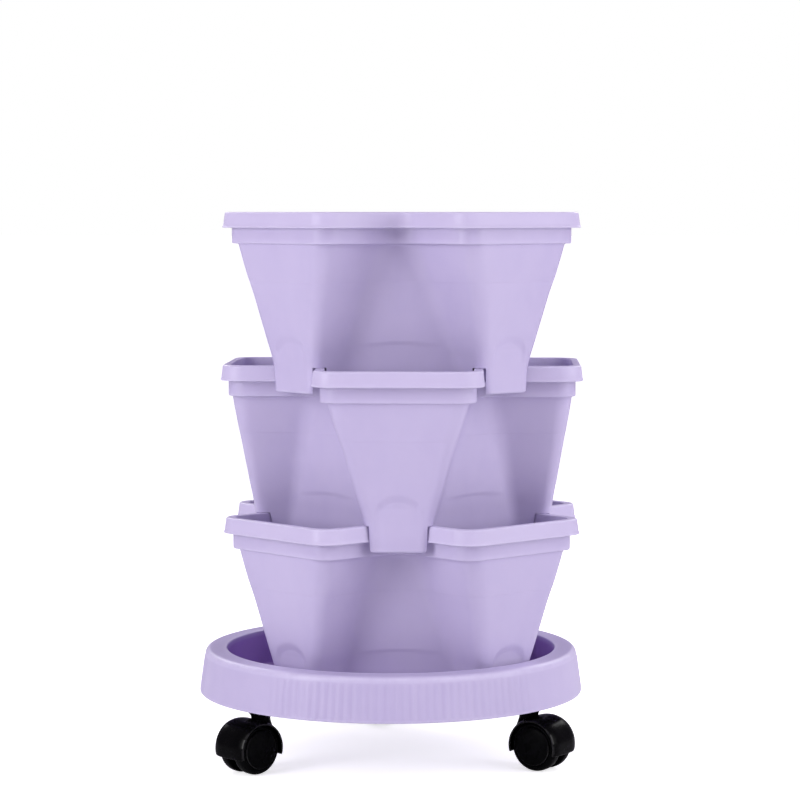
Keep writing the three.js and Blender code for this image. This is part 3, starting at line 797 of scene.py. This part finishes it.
def tower_plastic(name, basin=False, skirt=False):
    mat, tree, bsdf = new_material(name)
    coords = tree.nodes.new("ShaderNodeTexCoord").outputs["Object"]
    # slow drift of tone where the melt flowed, drawn out along the height
    flow = noise(tree, stretch(tree, coords, 1.0, 1.0, 0.35), 14.0, 3.0, 0.55)
    cloud = noise(tree, coords, 55.0, 2.0, 0.5)
    fine = noise(tree, coords, 1500.0, 2.0, 0.6)
    colour = mix_colour(tree, ramp(tree, flow, 0.32, 0.68), (0.502, 0.442, 0.668), (0.540, 0.480, 0.698))
    colour = mix_colour(tree, ramp(tree, cloud, 0.35, 0.7, 0.0, 0.35), colour, (0.555, 0.490, 0.702))
    colour = mix_colour(tree, ramp(tree, fine, 0.3, 0.75, 0.0, 0.10), colour, (0.60, 0.552, 0.76))
    worn_and_highlit = maths(tree, "MULTIPLY", attribute(tree, "wear_and_highlight"), ramp(tree, noise(tree, coords, 90.0, 4.0, 0.6), 0.35, 0.62, 0.55, 1.0))
    # painted highlight: the skirt is painted lighter than the body
    if skirt:
        colour = mix_colour(tree, maths(tree, "MULTIPLY", attribute(tree, "skirt"), 0.45), colour, (0.640, 0.578, 0.790))
    # wear and painted highlight: the marked edges are lightened towards pale lavender
    colour = mix_colour(tree, maths(tree, "MULTIPLY", worn_and_highlit, 0.6), colour, (0.72, 0.672, 0.87))
    if basin:
        # painted shade: the grooves between the saucer's flutes are darkened
        colour = mix_colour(tree, maths(tree, "MULTIPLY", attribute(tree, "groove"), 0.22), colour, (0.36, 0.29, 0.53))
        # painted shade: the saucer's basin is darkened to deep violet
        colour = mix_colour(tree, maths(tree, "MULTIPLY", attribute(tree, "basin"), 0.93), colour, (0.330, 0.190, 0.525))
    tree.links.new(colour, bsdf.inputs["Base Color"])
    rough = ramp(tree, noise(tree, coords, 38.0, 4.0, 0.6), 0.3, 0.7, 0.40, 0.50)
    rough = maths(tree, "SUBTRACT", rough, maths(tree, "MULTIPLY", worn_and_highlit, 0.08))
    tree.links.new(rough, bsdf.inputs["Roughness"])
    grain = noise(tree, coords, 900.0, 3.0, 0.65)
    orange = noise(tree, coords, 170.0, 2.0, 0.5)
    normal = bump(tree, grain, 0.00012, 0.35)
    normal = bump(tree, orange, 0.0004, 0.10, normal)
    tree.links.new(normal, bsdf.inputs["Normal"])
    bsdf.inputs["Specular IOR Level"].default_value = 0.42
    bsdf.inputs["Subsurface Weight"].default_value = 0.0
    return mat


def black_plastic(name, base, rough_lo, rough_hi, grain_scale, grain_strength, scuffs, shine, polished_edge=False):
    mat, tree, bsdf = new_material(name)
    coords = tree.nodes.new("ShaderNodeTexCoord").outputs["Object"]
    tone = noise(tree, coords, 60.0, 3.0, 0.5)
    colour = mix_colour(tree, ramp(tree, tone, 0.3, 0.7), base, tuple(c * 1.5 + 0.0008 for c in base))
    scratch = noise(tree, stretch(tree, coords, 1.0, 0.12, 1.0), 1400.0, 2.0, 0.6)
    mark = ramp(tree, scratch, 0.66, 0.8, 0.0, scuffs)
    colour = mix_colour(tree, mark, colour, (0.022, 0.022, 0.024))
    tree.links.new(colour, bsdf.inputs["Base Color"])
    rough = ramp(tree, noise(tree, coords, 120.0, 4.0, 0.6), 0.3, 0.7, rough_lo, rough_hi)
    rough = maths(tree, "ADD", rough, maths(tree, "MULTIPLY", mark, 0.25))
    tree.links.new(rough, bsdf.inputs["Roughness"])
    normal = bump(tree, noise(tree, coords, grain_scale, 2.0, 0.5), 0.0002, grain_strength)
    tree.links.new(normal, bsdf.inputs["Normal"])
    bsdf.inputs["Specular IOR Level"].default_value = shine
    if polished_edge:
        # the thin rolled edges are rubbed to a shine
        tree.links.new(attribute(tree, "edge"), bsdf.inputs["Coat Weight"])
        bsdf.inputs["Coat Roughness"].default_value = 0.06
        bsdf.inputs["Coat IOR"].default_value = 1.6
    return mat


def turned_steel(name):
    mat, tree, bsdf = new_material(name)
    coords = tree.nodes.new("ShaderNodeTexCoord").outputs["Object"]
    tone = noise(tree, coords, 220.0, 4.0, 0.6)
    colour = mix_colour(tree, ramp(tree, tone, 0.3, 0.7), (0.50, 0.51, 0.53), (0.62, 0.63, 0.64))
    tree.links.new(colour, bsdf.inputs["Base Color"])
    bsdf.inputs["Metallic"].default_value = 1.0
    rough = ramp(tree, noise(tree, stretch(tree, coords, 1.0, 1.0, 14.0), 300.0, 3.0, 0.6), 0.3, 0.7, 0.24, 0.38)
    tree.links.new(rough, bsdf.inputs["Roughness"])
    normal = bump(tree, noise(tree, stretch(tree, coords, 0.2, 0.2, 10.0), 700.0, 2.0, 0.5), 0.0001, 0.3)
    tree.links.new(normal, bsdf.inputs["Normal"])
    return mat


def paint(obj, mat):
    obj.data.materials.clear()
    obj.data.materials.append(mat)


MAT_POT = tower_plastic("lavender_plastic", skirt=True)
MAT_SAUCER = tower_plastic("lavender_plastic_saucer", basin=True)
MAT_HOOD = black_plastic("black_gloss_hood", (0.0012, 0.0012, 0.0014), 0.20, 0.30, 500.0, 0.06, 0.04, 0.030, True)
MAT_WHEEL = black_plastic("black_gloss_wheel", (0.0012, 0.0013, 0.0015), 0.22, 0.34, 700.0, 0.08, 0.05, 0.030, True)
MAT_SOCKET = black_plastic("black_satin_socket", (0.0030, 0.0030, 0.0034), 0.32, 0.46, 1200.0, 0.20, 0.2, 0.05)
MAT_STEEL = turned_steel("turned_steel")


def place(obj, node, body, slot, mat):
    obj.name = node + "_moulding" if slot != "steel" else node + "_turned"
    obj.data.name = obj.name
    paint(obj, mat)
    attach(obj, body)
    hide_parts(node)
    return obj


# ------------------------------------------------------------------ pieces
pattern = make_pot()
wear_and_highlights_of_pot(pattern.data)
for i, node in enumerate(("pot_bottom", "pot_middle", "pot_top")):
    pot = link(node + "_piece", pattern.data.copy())
    turn = math.pi / 4 if i % 2 == 0 else 0.0
    transform_mm(pot, Matrix.Translation((POT_SHIFT_X, 0, POT_FIRST_BASE + i * POT_PITCH)) @ Matrix.Rotation(turn, 4, "Z"))
    place(pot, node, node, "tower_plastic", MAT_POT)
drop(pattern)

place(make_saucer(), "saucer", "saucer", "tower_plastic", MAT_SAUCER)

patterns = {
    "hood": make_hood("hood_pattern"),
    "wheel_a": make_wheel("wheel_a_pattern", 1),
    "wheel_b": make_wheel("wheel_b_pattern", -1),
    "axle": make_axle("axle_pattern"),
    "stem": make_stem("stem_pattern"),
    "socket": make_socket("socket_pattern"),
}
for where, (angle, trail) in CASTERS.items():
    x, y = caster_place(angle)
    stand = Matrix.Translation((x, y, 0)) @ Matrix.Rotation(math.radians(trail), 4, "Z")
    for part, pattern in patterns.items():
        node = f"{where}_caster_{part}"
        obj = link(node + "_piece", pattern.data.copy())
        transform_mm(obj, stand)
        body = {"socket": "saucer", "wheel_a": f"{where}_wheel_a", "wheel_b": f"{where}_wheel_b"}.get(part, f"{where}_swivel")
        slot, mat = {
            "hood": ("caster_plastic", MAT_HOOD), "wheel_a": ("wheel_plastic", MAT_WHEEL), "wheel_b": ("wheel_plastic", MAT_WHEEL),
            "axle": ("steel", MAT_STEEL), "stem": ("steel", MAT_STEEL), "socket": ("socket_plastic", MAT_SOCKET),
        }[part]
        place(obj, node, body, slot, mat)
for pattern in patterns.values():
    drop(pattern)

# ------------------------------------------------------------------ stage, light and camera
scene = bpy.context.scene


def pale_floor():
    size, rows = 60.0, 24
    bm = bmesh.new()
    bmesh.ops.create_grid(bm, x_segments=rows, y_segments=rows, size=size)
    mesh = bpy.data.meshes.new("floor")
    bm.to_mesh(mesh)
    bm.free()
    floor = link("floor", mesh)
    mat, tree, bsdf = new_material("pale_floor")
    coords = tree.nodes.new("ShaderNodeTexCoord").outputs["Object"]
    colour = mix_colour(tree, ramp(tree, noise(tree, coords, 3.0, 2.0, 0.5), 0.3, 0.7), (0.90, 0.90, 0.905), (0.925, 0.925, 0.93))
    tree.links.new(colour, bsdf.inputs["Base Color"])
    bsdf.inputs["Roughness"].default_value = 0.9
    bsdf.inputs["Specular IOR Level"].default_value = 0.1
    # lifted to the white of the studio where the camera sees it, without adding light to the object
    span = tree.nodes.new("ShaderNodeVectorMath")
    span.operation = "LENGTH"
    tree.links.new(coords, span.inputs[0])
    ray = tree.nodes.new("ShaderNodeLightPath")
    lift = maths(tree, "MULTIPLY", ray.outputs["Is Camera Ray"], ramp(tree, span.outputs["Value"], 0.5, 4.0, 0.66, 0.9))
    bsdf.inputs["Emission Color"].default_value = (1.0, 1.0, 1.0, 1.0)
    tree.links.new(lift, bsdf.inputs["Emission Strength"])
    # seen from underneath it is clear, so that the underside can be looked at
    clear = tree.nodes.new("ShaderNodeBsdfTransparent")
    either = tree.nodes.new("ShaderNodeMixShader")
    side = tree.nodes.new("ShaderNodeNewGeometry")
    out = [n for n in tree.nodes if n.type == "OUTPUT_MATERIAL"][0]
    tree.links.new(side.outputs["Backfacing"], either.inputs["Fac"])
    tree.links.new(bsdf.outputs["BSDF"], either.inputs[1])
    tree.links.new(clear.outputs["BSDF"], either.inputs[2])
    tree.links.new(either.outputs["Shader"], out.inputs["Surface"])
    paint(floor, mat)


pale_floor()

world = bpy.data.worlds.new("studio")
world.use_nodes = True
background = world.node_tree.nodes["Background"]
# a soft, slightly cool fill on the object, in front of a plain white background
ray = world.node_tree.nodes.new("ShaderNodeLightPath")
world.node_tree.links.new(mix_colour(world.node_tree, ray.outputs["Is Camera Ray"], (0.87, 0.77, 1.0), (1.0, 1.0, 1.0)), background.inputs["Color"])
world.node_tree.links.new(ramp(world.node_tree, ray.outputs["Is Camera Ray"], 0.0, 1.0, 0.33, 1.0), background.inputs["Strength"])
scene.world = world


def softbox(name, place_at, aim, size, power, colour=(1, 1, 1)):
    light = bpy.data.lights.new(name, "AREA")
    light.shape = "RECTANGLE"
    light.size, light.size_y = size
    light.energy = power
    light.color = colour
    obj = bpy.data.objects.new(name, light)
    scene.collection.objects.link(obj)
    obj.location = place_at
    obj.rotation_mode = "QUATERNION"
    obj.rotation_quaternion = (Vector(aim) - Vector(place_at)).to_track_quat("-Z", "Y")
    return obj


def around(azimuth, elevation, distance=2.3):
    """A place round the tower, azimuth from the front towards +X."""
    a, e = math.radians(azimuth), math.radians(elevation)
    return (distance * math.cos(e) * math.sin(a), -distance * math.cos(e) * math.cos(a), 0.3 + distance * math.sin(e))


for name, azimuth, elevation, size, power in (
    ("left_softbox", -50, 15, (0.8, 1.3), 25.5), ("left_high", -45, 45, (0.9, 0.9), 3.5), ("right_softbox", 75, 15, (0.8, 1.3), 16.6), ("right_fill", 50, 15, (0.8, 1.3), 7.5),
    ("right_high", 45, 45, (0.9, 0.9), 6.0),
    ("front_high", 0, 55, (0.9, 0.9), 2.0), ("back_left", -145, 30, (0.9, 0.9), 14.0), ("back_right", 145, 30, (0.9, 0.9), 14.0),
):
    softbox(name, around(azimuth, elevation), (0, 0, 0.3), size, power)

AZIMUTH = math.radians(2.1)
DISTANCE = 2.650
FOCAL_PIXELS = 2655.0
PITCH = math.atan((400.0 - 212.0) / FOCAL_PIXELS)
camera = bpy.data.cameras.new("camera")
camera.sensor_fit = "HORIZONTAL"
camera.sensor_width = 36.0
camera.lens = 36.0 * FOCAL_PIXELS / 800.0
camera.clip_start, camera.clip_end = 0.05, 60.0
camera_object = bpy.data.objects.new("camera", camera)
scene.collection.objects.link(camera_object)
right = Vector((math.cos(AZIMUTH), math.sin(AZIMUTH), 0))
back = Vector((math.sin(AZIMUTH), -math.cos(AZIMUTH), 0))
camera_object.location = back * DISTANCE + Vector((0, 0, 0.545)) + right * 0.0093
camera_object.rotation_mode = "QUATERNION"
forward = (-back) * math.cos(PITCH) - Vector((0, 0, 1)) * math.sin(PITCH)
camera_object.rotation_quaternion = forward.to_track_quat("-Z", "Y")
scene.camera = camera_object

scene.view_settings.view_transform = "Standard"
scene.view_settings.look = "None"
scene.view_settings.exposure = 0.0
scene.view_settings.gamma = 1.0

bpy.context.view_layer.update()
